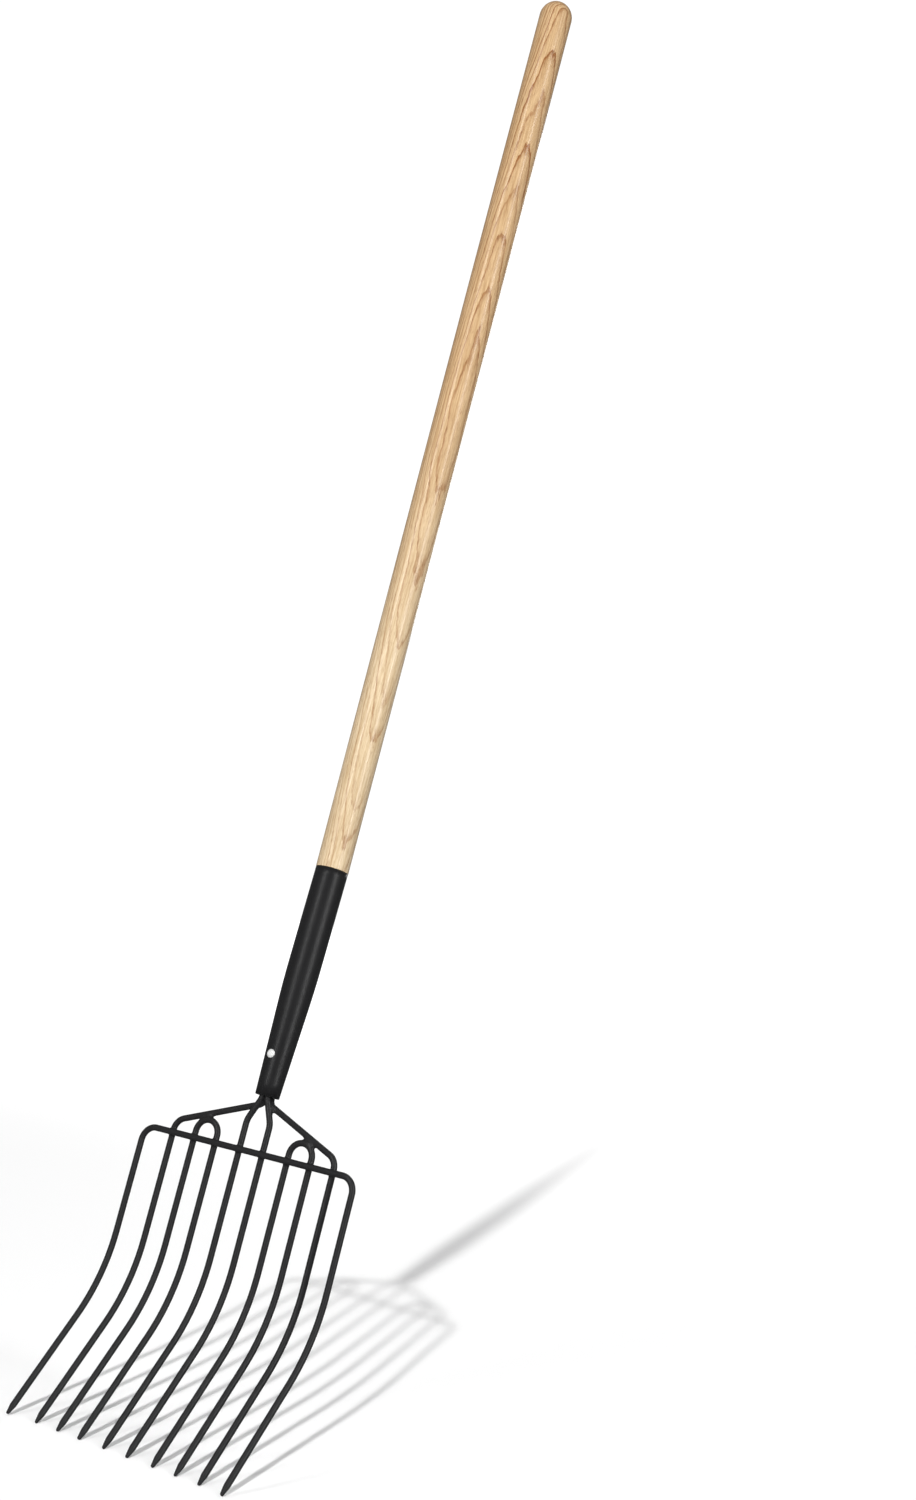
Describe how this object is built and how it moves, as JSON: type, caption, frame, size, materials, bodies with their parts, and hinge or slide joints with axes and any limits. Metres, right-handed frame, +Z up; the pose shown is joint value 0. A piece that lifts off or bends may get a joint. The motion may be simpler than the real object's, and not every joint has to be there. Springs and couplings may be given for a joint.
{
  "type": "hay fork",
  "caption": "Long-handled hay and bedding fork: straight ash handle in a tapered steel socket, welded head of round rod tines curved forward.",
  "frame": {"origin": "on the handle's axis, in the plane of the socket's mouth, where wood meets steel", "axes": "+Z up the handle towards the domed grip end, X across the tines with +X to the right seen from the front, -Y to the front, the side the tines curve to"},
  "size_m": [0.2714, 0.1218, 1.5907],
  "materials": {
    "ash_wood": "turned and sanded ash with a thin clear lacquer",
    "socket_powder_coat": "satin black powder coat on drawn steel tube",
    "rod_powder_coat": "satin charcoal black powder coat on bent and welded steel rod",
    "zinc_plate": "bright zinc-plated steel rivet, domed head"
  },
  "bodies": {
    "root": {"ash_handle": "ash_wood", "socket": "socket_powder_coat", "rivet": "zinc_plate", "outer_bow": "rod_powder_coat", "left_shoulder_rod": "rod_powder_coat", "left_hairpin_rod": "rod_powder_coat", "left_centre_rod": "rod_powder_coat", "right_shoulder_rod": "rod_powder_coat", "right_hairpin_rod": "rod_powder_coat", "right_centre_rod": "rod_powder_coat", "left_shoulder_weld": "rod_powder_coat", "left_hairpin_outer_weld": "rod_powder_coat", "left_hairpin_inner_weld": "rod_powder_coat", "left_centre_weld": "rod_powder_coat", "left_hairpin_top_weld": "rod_powder_coat", "left_shank_weld": "rod_powder_coat", "right_shoulder_weld": "rod_powder_coat", "right_hairpin_outer_weld": "rod_powder_coat", "right_hairpin_inner_weld": "rod_powder_coat", "right_centre_weld": "rod_powder_coat", "right_hairpin_top_weld": "rod_powder_coat", "right_shank_weld": "rod_powder_coat", "socket_weld": "rod_powder_coat"}
  },
  "joints": []
}
